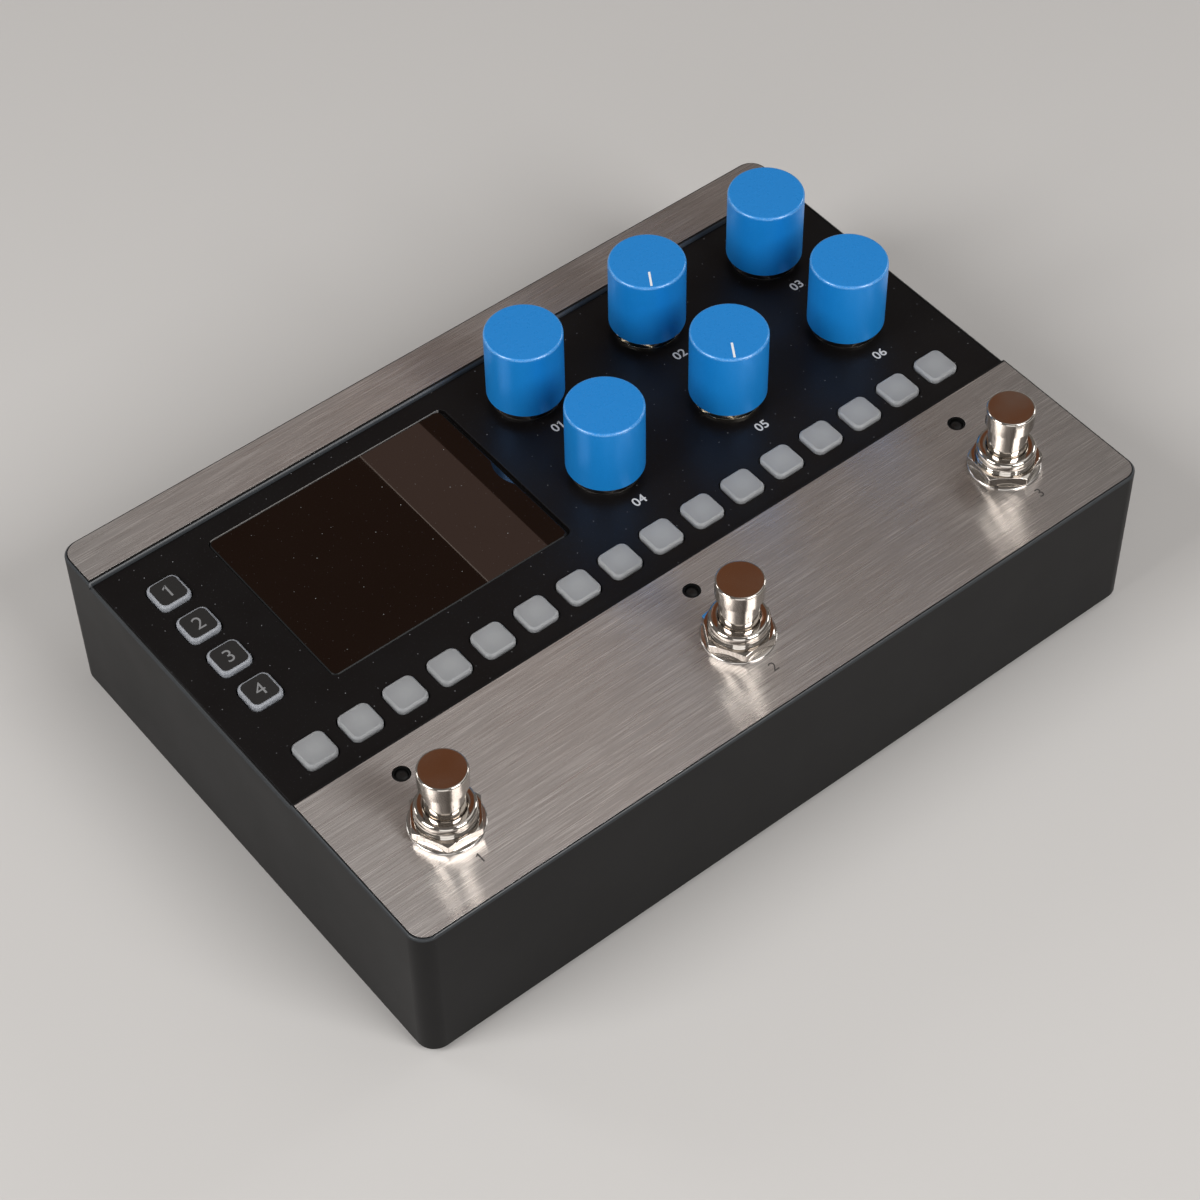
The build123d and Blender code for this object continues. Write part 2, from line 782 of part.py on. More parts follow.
# Audio jacks behind the rear wall, their bushes through it
with BuildPart() as audio_jacks:
    with BuildSketch(Plane.XZ.offset(-rear_inner_y)):
        with Locations(*[(x, jack_z) for x in jack_xs]):
            Rectangle(jack_width, jack_height)
    extrude(amount=jack_length)
    with BuildSketch(Plane.XZ.offset(-rear_inner_y)):
        with Locations(*[(x, jack_z) for x in jack_xs]):
            Circle(jack_bush_radius)
    extrude(amount=-housing_wall - rear_reach)
    with BuildSketch(Plane.XZ.offset(-rear_y - rear_reach)):
        with Locations(*[(x, jack_z) for x in jack_xs]):
            Circle(jack_bore_radius)
    extrude(amount=jack_bore_depth, mode=Mode.SUBTRACT)
audio_jacks.part.label = "audio_jacks"
export_step(audio_jacks.part, "parts/audio_jacks.step")

# Nuts that hold the audio jacks to the rear wall
jack_nut = hex_nut(jack_nut_flats, jack_nut_thickness, jack_bush_radius + thread_gap, jack_nut_bevel)
with BuildPart() as jack_nuts:
    with Locations(*[Location((x, rear_y, jack_z), (-90, 0, 0)) for x in jack_xs]):
        add(jack_nut)
jack_nuts.part.label = "jack_nuts"
export_step(jack_nuts.part, "parts/jack_nuts.step")

# Small jacks on the main board, their noses flush in the rear wall
with BuildPart() as small_jacks:
    with BuildSketch(Plane.XZ.offset(-rear_inner_y)):
        with Locations(*[(x, midi_z) for x in midi_xs]):
            Rectangle(midi_width, midi_height)
    extrude(amount=midi_length)
    with BuildSketch(Plane.XZ.offset(-rear_inner_y)):
        with Locations(*[(x, midi_z) for x in midi_xs]):
            Circle(midi_nose_radius)
    extrude(amount=-housing_wall)
    with BuildSketch(Plane.XZ.offset(-rear_y)):
        with Locations(*[(x, midi_z) for x in midi_xs]):
            Circle(midi_bore_radius)
    extrude(amount=midi_bore_depth, mode=Mode.SUBTRACT)
small_jacks.part.label = "small_jacks"
export_step(small_jacks.part, "parts/small_jacks.step")

# Power inlet behind its clearance hole, with the centre pin
with BuildPart() as power_inlet:
    with BuildSketch(Plane.XZ.offset(-rear_inner_y + power_gap)):
        with Locations((power_x, main_board_z + power_height / 2)):
            Rectangle(power_width, power_height)
    extrude(amount=power_length)
    with BuildSketch(Plane.XZ.offset(-rear_inner_y + power_gap)):
        with Locations((power_x, jack_z)):
            Circle(power_bore_radius)
    extrude(amount=power_bore_depth, mode=Mode.SUBTRACT)
    with BuildSketch(Plane.XZ.offset(-rear_inner_y + power_gap + power_bore_depth)):
        with Locations((power_x, jack_z)):
            Circle(power_pin_radius)
    extrude(amount=-power_pin_length)
power_inlet.part.label = "power_inlet"
export_step(power_inlet.part, "parts/power_inlet.step")

# Data socket: a drawn shell with the contact tongue inside
data_face_y = rear_inner_y - main_board_setback
with BuildPart() as data_socket:
    with BuildSketch(Plane.XZ.offset(-data_face_y)):
        with Locations((data_x, data_z)):
            RectangleRounded(data_width, data_height, data_corner)
    extrude(amount=data_length)
    with BuildSketch(Plane.XZ.offset(-data_face_y)):
        with Locations((data_x, data_z)):
            RectangleRounded(
                data_width - 2 * data_shell, data_height - 2 * data_shell, data_corner - data_shell
            )
    extrude(amount=data_depth, mode=Mode.SUBTRACT)
    with BuildSketch(Plane.XZ.offset(-data_face_y + data_depth)):
        with Locations((data_x, data_z)):
            Rectangle(data_tongue_width, data_tongue_thickness)
    extrude(amount=-data_tongue_length)
data_socket.part.label = "data_socket"
export_step(data_socket.part, "parts/data_socket.step")

# Main board, hung from the jacks
main_board_width = housing_width - 2 * (boss_inset + boss_radius + main_board_side_gap)
main_board_rear_y = rear_inner_y - main_board_setback
with BuildPart() as main_board:
    with BuildSketch(Plane.XY.offset(main_board_z)):
        with Locations((0, main_board_rear_y - main_board_depth / 2)):
            Rectangle(main_board_width, main_board_depth)
    extrude(amount=-board_thickness)
main_board.part.label = "main_board"
export_step(main_board.part, "parts/main_board.step")

# Base plate, countersunk for its screws
with BuildPart() as base_plate:
    with BuildSketch(Plane.XY.offset(base_under_z)):
        add(housing_outline(base_lip + base_gap, front_y, rear_y))
        with Locations(*boss_points):
            Circle(screw_radius + thread_gap, mode=Mode.SUBTRACT)
    extrude(amount=base_thickness)
    with Locations(*[(x, y, base_under_z) for x, y in boss_points]):
        Cone(
            screw_head_radius + thread_gap,
            screw_radius + thread_gap,
            screw_head_height,
            align=(Align.CENTER, Align.CENTER, Align.MIN),
            mode=Mode.SUBTRACT,
        )
base_plate.part.label = "base_plate"
export_step(base_plate.part, "parts/base_plate.step")

# Countersunk screws, up through the base plate into the housing's bosses
with BuildPart() as base_screws:
    with Locations(*[(x, y, base_under_z) for x, y in boss_points]):
        Cone(
            screw_head_radius,
            screw_radius,
            screw_head_height,
            align=(Align.CENTER, Align.CENTER, Align.MIN),
        )
    with BuildSketch(Plane.XY.offset(base_under_z + screw_head_height)):
        with Locations(*boss_points):
            Circle(screw_radius)
    extrude(amount=screw_length - screw_head_height)
    with BuildSketch(Plane.XY.offset(base_under_z)):
        with Locations(*boss_points):
            RegularPolygon(screw_socket_radius, 6)
    extrude(amount=screw_socket_depth, mode=Mode.SUBTRACT)
base_screws.part.label = "base_screws"
export_step(base_screws.part, "parts/base_screws.step")

# Rubber feet under the base plate
with BuildPart() as rubber_feet:
    with BuildSketch():
        with Locations(*foot_points):
            Circle(foot_radius)
    extrude(amount=base_under_z)
    chamfer(rubber_feet.faces().filter_by(Axis.Z).group_by(Axis.Z)[0].edges(), foot_bevel)
rubber_feet.part.label = "rubber_feet"
export_step(rubber_feet.part, "parts/rubber_feet.step")
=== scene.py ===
"""Drum machine pedal, dressed: the looks of every visible piece, in metres, in the solids' own frame."""

import math

import bmesh
import bpy
from mathutils import Euler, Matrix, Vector


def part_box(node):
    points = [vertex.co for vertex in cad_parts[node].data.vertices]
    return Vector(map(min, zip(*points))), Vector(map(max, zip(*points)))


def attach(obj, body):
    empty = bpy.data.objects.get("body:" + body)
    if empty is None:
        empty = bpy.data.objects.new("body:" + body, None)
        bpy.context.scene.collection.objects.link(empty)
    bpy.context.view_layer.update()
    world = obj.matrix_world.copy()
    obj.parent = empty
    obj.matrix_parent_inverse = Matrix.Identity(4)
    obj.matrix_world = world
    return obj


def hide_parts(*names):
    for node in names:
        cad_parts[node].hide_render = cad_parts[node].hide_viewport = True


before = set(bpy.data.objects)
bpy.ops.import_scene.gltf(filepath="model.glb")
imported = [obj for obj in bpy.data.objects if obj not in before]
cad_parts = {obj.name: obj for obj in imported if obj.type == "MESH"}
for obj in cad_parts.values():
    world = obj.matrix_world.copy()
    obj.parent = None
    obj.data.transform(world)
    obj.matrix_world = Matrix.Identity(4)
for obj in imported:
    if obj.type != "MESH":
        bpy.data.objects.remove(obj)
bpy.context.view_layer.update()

# Housing: a one-piece metal tub, open below, with a shallow channel milled across its top.
# It is coated satin black, and its outer edges are broken by a fine bevel, painted paler as a painted
# highlight where it catches the light.
mm = 0.001
housing_edge = 0.01 * mm
weld_distance = 0.002 * mm
flat_angle = math.radians(1)
sharp_angle = math.radians(30)
corner_angle = math.radians(60)
noise_low = 0.3
noise_high = 0.7
coat_black = (0.0075, 0.0072, 0.0072)


def new_finish(name, colour, roughness, **even_values):
    """Material of one main shader, with what is even all over set on the shader's own sockets."""
    finish = bpy.data.materials.new(name)
    finish.use_nodes = True
    sockets = finish.node_tree.nodes["Principled BSDF"].inputs
    sockets["Base Color"].default_value = (*colour, 1.0)
    sockets["Roughness"].default_value = roughness
    for words, value in even_values.items():
        sockets[words.replace("_", " ").title().replace("Ior", "IOR")].default_value = value
    return finish


def noise_over(finish, grain, stretch=(1.0, 1.0, 1.0), detail=2.0):
    """Noise in the piece's own space, with grains of a given size, longer where they are stretched."""
    nodes = finish.node_tree.nodes
    space = nodes.new("ShaderNodeTexCoord")
    scaling = nodes.new("ShaderNodeMapping")
    scaling.inputs["Scale"].default_value = [1 / (grain * share) for share in stretch]
    noise = nodes.new("ShaderNodeTexNoise")
    noise.inputs["Scale"].default_value = 1.0
    noise.inputs["Detail"].default_value = detail
    finish.node_tree.links.new(space.outputs["Object"], scaling.inputs["Vector"])
    finish.node_tree.links.new(scaling.outputs["Vector"], noise.inputs["Vector"])
    return noise.outputs["Fac"]


def between(finish, share, low, high):
    """Turns the middle of a noise's range into the stretch from a low to a high value."""
    spread = finish.node_tree.nodes.new("ShaderNodeMapRange")
    spread.inputs["From Min"].default_value = noise_low
    spread.inputs["From Max"].default_value = noise_high
    spread.inputs["To Min"].default_value = low
    spread.inputs["To Max"].default_value = high
    finish.node_tree.links.new(share, spread.inputs["Value"])
    return spread.outputs["Result"]


def vary_roughness(finish, share, low, high):
    """Makes the finish glossier and duller by turns."""
    shader = finish.node_tree.nodes["Principled BSDF"]
    finish.node_tree.links.new(between(finish, share, low, high), shader.inputs["Roughness"])


def vary_relief(finish, share, height):
    """Raises and lowers the surface by a small height, over any relief that is already there."""
    links = finish.node_tree.links
    normal = finish.node_tree.nodes["Principled BSDF"].inputs["Normal"]
    relief = finish.node_tree.nodes.new("ShaderNodeBump")
    relief.inputs["Distance"].default_value = height
    links.new(share, relief.inputs["Height"])
    if normal.links:
        links.new(normal.links[0].from_socket, relief.inputs["Normal"])
    links.new(relief.outputs["Normal"], normal)


def lay_colour(finish, share, colour):
    """Lays a colour over the finish, as strongly as a share says from place to place."""
    links = finish.node_tree.links
    base = finish.node_tree.nodes["Principled BSDF"].inputs["Base Color"]
    layer = finish.node_tree.nodes.new("ShaderNodeMixRGB")
    layer.inputs["Color1"].default_value = base.default_value
    layer.inputs["Color2"].default_value = (*colour, 1.0)
    if base.links:
        links.new(base.links[0].from_socket, layer.inputs["Color1"])
    links.new(share, layer.inputs["Fac"])
    links.new(layer.outputs["Color"], base)


def dust_over(finish, spacing, radius_share, colour, directions="3D"):
    """Specks of dust, some fainter than others, one to each square of the spacing if they lie in plan."""
    nodes = finish.node_tree.nodes
    links = finish.node_tree.links
    space = nodes.new("ShaderNodeTexCoord")
    cells = nodes.new("ShaderNodeTexVoronoi")
    cells.voronoi_dimensions = directions
    cells.inputs["Scale"].default_value = 1 / spacing
    speck = nodes.new("ShaderNodeMath")
    speck.operation = "LESS_THAN"
    speck.inputs[1].default_value = radius_share
    links.new(space.outputs["Object"], cells.inputs["Vector"])
    strength = nodes.new("ShaderNodeMath")
    strength.operation = "MULTIPLY"
    links.new(cells.outputs["Distance"], speck.inputs[0])
    links.new(speck.outputs["Value"], strength.inputs[0])
    links.new(cells.outputs["Color"], strength.inputs[1])
    lay_colour(finish, strength.outputs["Value"], colour)


def add_piece(name, mesh, finish, slot, body, *nodes):
    """Puts a mesh in the scene as a piece that rides on a body, in place of the solids it stands for."""
    piece = bpy.data.objects.new(name, mesh)
    bpy.context.scene.collection.objects.link(piece)
    mesh.materials.append(finish)
    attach(piece, body)
    if nodes:
        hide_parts(*nodes)
    return piece


def mesh_of(name, shape):
    """Turns a shape that has been worked on into a mesh."""
    mesh = bpy.data.meshes.new(name)
    shape.to_mesh(mesh)
    shape.free()
    return mesh


def eased_copy(node, finish, slot, body="case", *, edge, steps=2, sharp=sharp_angle):
    """Copy of a solid's mesh with whole flat faces and with its sharp edges eased by a small round.

    Its map runs with u across the housing's depth and v along its width, tilted a little with height.
    """
    shape = bmesh.new()
    shape.from_mesh(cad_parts[node].data)
    bmesh.ops.remove_doubles(shape, verts=shape.verts, dist=weld_distance)
    bmesh.ops.dissolve_limit(shape, angle_limit=flat_angle, verts=shape.verts, edges=shape.edges)
    plan = shape.loops.layers.uv.new("plan")
    for face in shape.faces:
        for corner in face.loops:
            at = corner.vert.co
            corner[plan].uv = (at.y + at.z, at.x + at.z / 2)
    mesh = mesh_of(node + "_skin", shape)
    mesh.shade_smooth()
    mesh.set_sharp_from_angle(angle=sharp)
    piece = add_piece(node + "_skin", mesh, finish, slot, body, node)
    easing = piece.modifiers.new("eased_edges", "BEVEL")
    easing.width = edge
    easing.segments = steps
    easing.limit_method = "ANGLE"
    easing.angle_limit = sharp
    easing.use_clamp_overlap = False
    easing.harden_normals = True
    return piece


def level_normals(piece):
    """Lets the larger faces set the shading, so that flats stay flat up to their rounded edges."""
    shading = piece.modifiers.new("level_normals", "WEIGHTED_NORMAL")
    shading.keep_sharp = True


def give_slopes(mesh, finish, steepest=0.15, levellest=0.97):
    """Gives the faces that slope, such as a bevel or a rounded rim, a finish of their own.

    How level a face may be is told by the upward share of its normal.
    """
    mesh.materials.append(finish)
    for face in mesh.polygons:
        if steepest < face.normal.z < levellest:
            face.material_index = len(mesh.materials) - 1


black_coat = new_finish("black_coat", coat_black, roughness=0.42, specular_ior_level=0.11)
coat_grain = noise_over(black_coat, grain=0.22 * mm)
vary_relief(black_coat, coat_grain, height=0.006 * mm)
vary_roughness(black_coat, noise_over(black_coat, grain=14 * mm), low=0.39, high=0.43)
lay_colour(black_coat, coat_grain, (0.011, 0.0105, 0.0105))
dust_over(black_coat, spacing=2.5 * mm, radius_share=0.04, colour=(0.07, 0.075, 0.085))
# Painted highlight: the bevel's slopes get a paler copy of the black coat, standing in for the light the
# bevel catches.
bevel_highlight = new_finish("bevel_highlight", (0.022, 0.025, 0.028), roughness=0.36, specular_ior_level=0.36)
lay_colour(bevel_highlight, noise_over(bevel_highlight, grain=0.5 * mm), (0.034, 0.038, 0.042))
housing = eased_copy("housing", black_coat, "black_coat", sharp=corner_angle, edge=housing_edge)
level_normals(housing)
give_slopes(housing.data, bevel_highlight)

# Base plate: a flat sheet of black-coated metal that closes the tub from below.
# Four countersunk screws hold it, and four rubber feet are stuck to it.
black_oxide = new_finish("black_oxide", (0.03, 0.03, 0.032), roughness=0.38, metallic=1.0)
vary_roughness(black_oxide, noise_over(black_oxide, grain=0.4 * mm), low=0.3, high=0.5)
lay_colour(black_oxide, noise_over(black_oxide, grain=0.8 * mm), (0.05, 0.048, 0.046))
foot_rubber = new_finish("foot_rubber", (0.014, 0.014, 0.014), roughness=0.8)
rubber_grain = noise_over(foot_rubber, grain=0.3 * mm)
vary_relief(foot_rubber, rubber_grain, height=0.02 * mm)
lay_colour(foot_rubber, rubber_grain, (0.028, 0.027, 0.026))
eased_copy("base_plate", black_coat, "black_coat", edge=0.1 * mm)
eased_copy("base_screws", black_oxide, "black_screw", edge=0.06 * mm)
eased_copy("rubber_feet", foot_rubber, "rubber", edge=0.3 * mm)

# Trim plates: two sheets of stainless steel, brushed along their length and let into the lands.
# They are glued down, and their cut edges are dull and painted dark, a painted shade.
steel_light = (0.56, 0.523, 0.5)
steel_dark = (0.43, 0.4, 0.384)
steel_bright = (0.78, 0.74, 0.71)
brushed_steel = new_finish("brushed_steel", steel_light, roughness=0.3, metallic=1.0, anisotropic=0.95)
hair_lines = noise_over(brushed_steel, grain=0.09 * mm, stretch=(200.0, 1.0, 1.0), detail=2.0)
long_lines = noise_over(brushed_steel, grain=0.22 * mm, stretch=(200.0, 1.0, 1.0), detail=1.0)
bright_lines = noise_over(brushed_steel, grain=0.09 * mm, stretch=(130.0, 1.0, 1.0), detail=1.0)
lay_colour(brushed_steel, between(brushed_steel, hair_lines, low=0.0, high=1.0), steel_dark)
lay_colour(brushed_steel, between(brushed_steel, long_lines, low=0.0, high=0.22), steel_dark)
lay_colour(brushed_steel, between(brushed_steel, bright_lines, low=-1.5, high=1.0), steel_bright)
vary_roughness(brushed_steel, hair_lines, low=0.25, high=0.35)
vary_relief(brushed_steel, bright_lines, height=0.0008 * mm)
grain_direction = brushed_steel.node_tree.nodes.new("ShaderNodeTangent")
grain_direction.direction_type = "UV_MAP"
grain_direction.uv_map = "plan"
brushed_steel.node_tree.links.new(
    grain_direction.outputs["Tangent"],
    brushed_steel.node_tree.nodes["Principled BSDF"].inputs["Tangent"],
)
# Painted shade: the cut edges and bevels of the steel get a dark steel, far darker than the sheet.
cut_steel_shade = new_finish("cut_steel_shade", (0.1, 0.097, 0.094), roughness=0.5, metallic=1.0)
lay_colour(cut_steel_shade, noise_over(cut_steel_shade, grain=0.5 * mm), (0.07, 0.068, 0.066))
for plate in ("front_trim_plate", "rear_trim_plate"):
    sheet = eased_copy(plate, brushed_steel, "brushed_trim", edge=0.015 * mm)
    give_slopes(sheet.data, cut_steel_shade, steepest=-0.1)

# Control panel: a flat plate with a fine matte black coat, let into the channel.
# It is cut out for the keys, the shafts and the display, and shows a little dust.
# Behind the display its cut edge is painted pale, a painted highlight where it catches the light.
edge_reach = 1.0 * mm
facing_front = -0.9
panel_black = new_finish("panel_black", (0.0035, 0.003, 0.003), roughness=0.4, specular_ior_level=0.2)
panel_grain = noise_over(panel_black, grain=0.12 * mm)
vary_relief(panel_black, panel_grain, height=0.003 * mm)
vary_roughness(panel_black, noise_over(panel_black, grain=11 * mm), low=0.34, high=0.44)
lay_colour(panel_black, panel_grain, (0.006, 0.005, 0.005))
dust_over(panel_black, spacing=1.4 * mm, radius_share=0.04, colour=(0.036, 0.037, 0.04), directions="2D")
dust_over(panel_black, spacing=6 * mm, radius_share=0.018, colour=(0.2, 0.2, 0.21), directions="2D")
panel = eased_copy("control_panel", panel_black, "panel_black", edge=0.08 * mm)
level_normals(panel)
# Painted highlight: the cut edge that faces the front behind the display gets a pale finish.
cut_edge_highlight = new_finish("cut_edge_highlight", (0.3, 0.285, 0.27), roughness=0.4)
lay_colour(cut_edge_highlight, noise_over(cut_edge_highlight, grain=0.8 * mm), (0.16, 0.15, 0.14))
panel.data.materials.append(cut_edge_highlight)
window_low, window_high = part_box("display_window")
for face in panel.data.polygons:
    beside = window_low.x < face.center.x < window_high.x
    behind = abs(face.center.y - window_high.y) < edge_reach
    if beside and behind and face.normal.y < facing_front:
        face.material_index = 1

# Display: polished dark glass, flush with the panel, over a screen module that is switched off.
# Its ground edge is dull and a little paler than the glass: partly the frosted edge's own tone, partly a
# painted highlight.
display_glass = new_finish("display_glass", (0.0028, 0.0022, 0.002), roughness=0.04, ior=1.52)
glass_film = noise_over(display_glass, grain=16 * mm)
vary_roughness(display_glass, glass_film, low=0.004, high=0.012)
lay_colour(display_glass, glass_film, (0.0045, 0.0036, 0.0032))
dust_over(display_glass, spacing=3 * mm, radius_share=0.024, colour=(0.06, 0.06, 0.06), directions="2D")
dust_over(display_glass, spacing=9 * mm, radius_share=0.011, colour=(0.35, 0.35, 0.35), directions="2D")
# The bevel's paler tone is partly the frosted edge's own colour and partly a painted highlight of the edge
# line.
ground_edge_and_highlight = new_finish("ground_edge_and_highlight", (0.007, 0.0074, 0.0078), roughness=0.4, specular_ior_level=0.12)
lay_colour(ground_edge_and_highlight, noise_over(ground_edge_and_highlight, grain=0.3 * mm), (0.012, 0.0125, 0.013))
window = eased_copy("display_window", display_glass, "display_glass", edge=0.03 * mm)
give_slopes(window.data, ground_edge_and_highlight)

# Step keys: sixteen square caps of milky plastic in one row, each over its own light and switch.
# They are moulded with rounded corners and a soft edge, and a flange under the panel keeps them in.
milky = {"subsurface_weight": 1.0, "subsurface_scale": 1.6 * mm, "subsurface_radius": (1.0, 1.0, 1.0)}


def fade_outward(finish, colour, inner, outer):
    """Lays a colour over a key as painted shade, ever more strongly between two distances from its middle.

    The distances are shares of the width of the key's own box.
    """
    nodes = finish.node_tree.nodes
    links = finish.node_tree.links
    space = nodes.new("ShaderNodeTexCoord")
    from_middle = nodes.new("ShaderNodeVectorMath")
    from_middle.operation = "SUBTRACT"
    from_middle.inputs[1].default_value = (0.5, 0.5, 0.0)
    level = nodes.new("ShaderNodeVectorMath")
    level.operation = "MULTIPLY"
    level.inputs[1].default_value = (1.0, 1.0, 0.0)
    distance = nodes.new("ShaderNodeVectorMath")
    distance.operation = "LENGTH"
    strength = nodes.new("ShaderNodeMapRange")
    strength.inputs["From Min"].default_value = inner
    strength.inputs["From Max"].default_value = outer
    links.new(space.outputs["Generated"], from_middle.inputs[0])
    links.new(from_middle.outputs["Vector"], level.inputs[0])
    links.new(level.outputs["Vector"], distance.inputs[0])
    links.new(distance.outputs["Value"], strength.inputs["Value"])
    lay_colour(finish, strength.outputs["Result"], colour)


key_milk = new_finish("key_milk", (0.28, 0.285, 0.292), roughness=0.5, **milky)
milk_grain = noise_over(key_milk, grain=0.25 * mm)
vary_relief(key_milk, milk_grain, height=0.004 * mm)
vary_roughness(key_milk, noise_over(key_milk, grain=3 * mm), low=0.45, high=0.55)
lay_colour(key_milk, noise_over(key_milk, grain=5 * mm), (0.293, 0.297, 0.302))
# Painted shade: each key's top darkens from its middle towards its edges.
fade_outward(key_milk, (0.222, 0.226, 0.232), inner=0.12, outer=0.55)
# Painted light: the sides get a copy of the milky finish in a tone of their own, set for how the light
# falls on them.
milky_side_lit = new_finish("milky_side_lit", (0.25, 0.255, 0.262), roughness=0.5, **milky)
lay_colour(milky_side_lit, noise_over(milky_side_lit, grain=5 * mm), (0.268, 0.272, 0.277))
step_keys = sorted(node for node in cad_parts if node.startswith("step_key_"))
for key in step_keys:
    cap = eased_copy(key, key_milk, "key_milky", key, steps=3, edge=0.08 * mm)
    give_slopes(cap.data, milky_side_lit, steepest=-0.1)

# Number keys: four caps like the step keys, their tops printed dark grey round a pale numeral.
# The print stops short of the edge, so a pale line runs round each top.
key_size = 7.1 * mm
print_margin = 0.54 * mm
print_corner = 1.25 * mm
print_film = 0.02 * mm
numeral_height = 3.1 * mm
numeral_boldness = -0.004
one_stem = 0.13
one_reach = 0.27
one_drop = 0.17
corner_points = 8


def rounded_square(size, corner):
    """Points round a square with rounded corners, about its middle."""
    reach = size / 2 - corner
    points = []
    for turn, (across, along) in enumerate(((1, 1), (-1, 1), (-1, -1), (1, -1))):
        for step in range(corner_points + 1):
            angle = math.radians(90) * (turn + step / corner_points)
            points.append(
                (across * reach + corner * math.cos(angle), along * reach + corner * math.sin(angle))
            )
    return points


def flat_print(name, outline, middle, film):
    """Thin closed film of an outline, on the height of its middle point."""
    shape = bmesh.new()
    points = [shape.verts.new((middle.x + x, middle.y + y, middle.z)) for x, y in outline]
    face = shape.faces.new(points)
    top = bmesh.ops.extrude_face_region(shape, geom=[face])["geom"]
    raised = [part for part in top if isinstance(part, bmesh.types.BMVert)]
    bmesh.ops.translate(shape, verts=raised, vec=(0, 0, film))
    bmesh.ops.recalc_face_normals(shape, faces=shape.faces)
    return mesh_of(name, shape)


def numeral_mesh(name, numeral, height, middle, film, boldness=0.0):
    """Plain numeral as a thin closed film, of a given height, about a middle point.

    The type has a bare stroke for a one, so a one at the end gets a small flag.
    """
    curve = bpy.data.curves.new(name, "FONT")
    curve.body = numeral
    curve.align_x = "CENTER"
    curve.extrude = film
    curve.offset = boldness
    writing = bpy.data.objects.new(name, curve)
    bpy.context.scene.collection.objects.link(writing)
    seen = bpy.context.evaluated_depsgraph_get()
    mesh = bpy.data.meshes.new_from_object(writing.evaluated_get(seen))
    bpy.data.objects.remove(writing)
    low = min(point.co.y for point in mesh.vertices)
    high = max(point.co.y for point in mesh.vertices)
    scale = height / (high - low)
    for point in mesh.vertices:
        point.co.x = middle.x + point.co.x * scale
        point.co.y = middle.y + (point.co.y - (low + high) / 2) * scale
        point.co.z = middle.z + (film if point.co.z > 0 else 0)
    if numeral.endswith("1"):
        right = max(point.co.x for point in mesh.vertices)
        top = middle.y + height / 2
        stem = one_stem * height
        flag = [
            (right - stem / 2, top),
            (right - stem / 2 - one_reach * height, top - one_drop * height),
            (right - stem / 2 - one_reach * height, top - one_drop * height - stem),
            (right - stem / 2, top - stem),
        ]
        shape = bmesh.new()
        shape.from_mesh(mesh)
        shape.from_mesh(flat_print(name + "_flag", flag, Vector((0, 0, middle.z)), film))
        shape.to_mesh(mesh)
        shape.free()
    return mesh


def top_middle(node):
    """Middle of the highest face of a solid."""
    low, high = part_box(node)
    return Vector(((low.x + high.x) / 2, (low.y + high.y) / 2, high.z))


number_print = new_finish("number_print", (0.011, 0.0102, 0.0098), roughness=0.55, specular_ior_level=0.3)
vary_relief(number_print, noise_over(number_print, grain=0.15 * mm), height=0.004 * mm)
lay_colour(number_print, noise_over(number_print, grain=0.3 * mm), (0.017, 0.0158, 0.0152))
number_milk = new_finish("number_milk", (0.25, 0.262, 0.288), roughness=0.5, **milky)
side_lines = noise_over(number_milk, grain=0.1 * mm, stretch=(1.0, 1.0, 30.0))
vary_relief(number_milk, side_lines, height=0.003 * mm)
lay_colour(number_milk, noise_over(number_milk, grain=4 * mm), (0.275, 0.285, 0.305))
numeral_grey = new_finish("numeral_grey", (0.17, 0.17, 0.172), roughness=0.55)
lay_colour(numeral_grey, noise_over(numeral_grey, grain=0.3 * mm), (0.2, 0.2, 0.203))
for number in range(1, 5):
    key = f"number_key_{number}"
    top = top_middle(key)
    eased_copy(key, number_milk, "key_number", key, steps=3, edge=0.16 * mm)
    outline = rounded_square(key_size - 2 * print_margin, print_corner)
    film = flat_print(f"number_print_{number}", outline, top, print_film)
    add_piece(f"number_print_{number}", film, number_print, "key_number", key)
    numeral = numeral_mesh(
        f"numeral_{number}",
        str(number),
        numeral_height,
        top + Vector((0, 0, print_film)),
        print_film,
        numeral_boldness,
    )
    add_piece(f"numeral_{number}", numeral, numeral_grey, "key_number", key)

# Knobs: six plain turned cylinders of metal, blasted to a satin grain and coloured blue, with a round rim.
# Each is pushed on the flat of its shaft; the middle two have a milled pointer filled with white.
knob_rim = 0.55 * mm
knob_foot = 0.3 * mm
knob_recess_radius = 6.5 * mm
knob_recess_depth = 3.6 * mm
shaft_end_gap = 0.3 * mm
pointer_length = 4.1 * mm
pointer_width = 0.46 * mm
pointer_inset = 0.7 * mm
pointer_angle = math.radians(-122)
turning_steps = 120
turned_angle = math.radians(50)
rim_steps = 5


def arc(centre, radius, start, end, steps):
    """Points of a profile along an arc, in degrees from the outward direction."""
    angles = [math.radians(start + (end - start) * step / steps) for step in range(steps + 1)]
    return [
        (centre[0] + radius * math.cos(angle), centre[1] + radius * math.sin(angle)) for angle in angles
    ]


def groove_depth(thread, radius, height, angle):
    """How deep the helical groove of a thread runs into a turned surface at a height and an angle."""
    low, high, pitch, depth, least_radius = thread
    if radius <= least_radius or not low < height < high:
        return 0.0
    phase = (height / pitch - angle / math.tau) % 1.0
    ends = min(height - low, high - height, pitch) / pitch
    return depth * (1 - abs(2 * phase - 1)) * ends


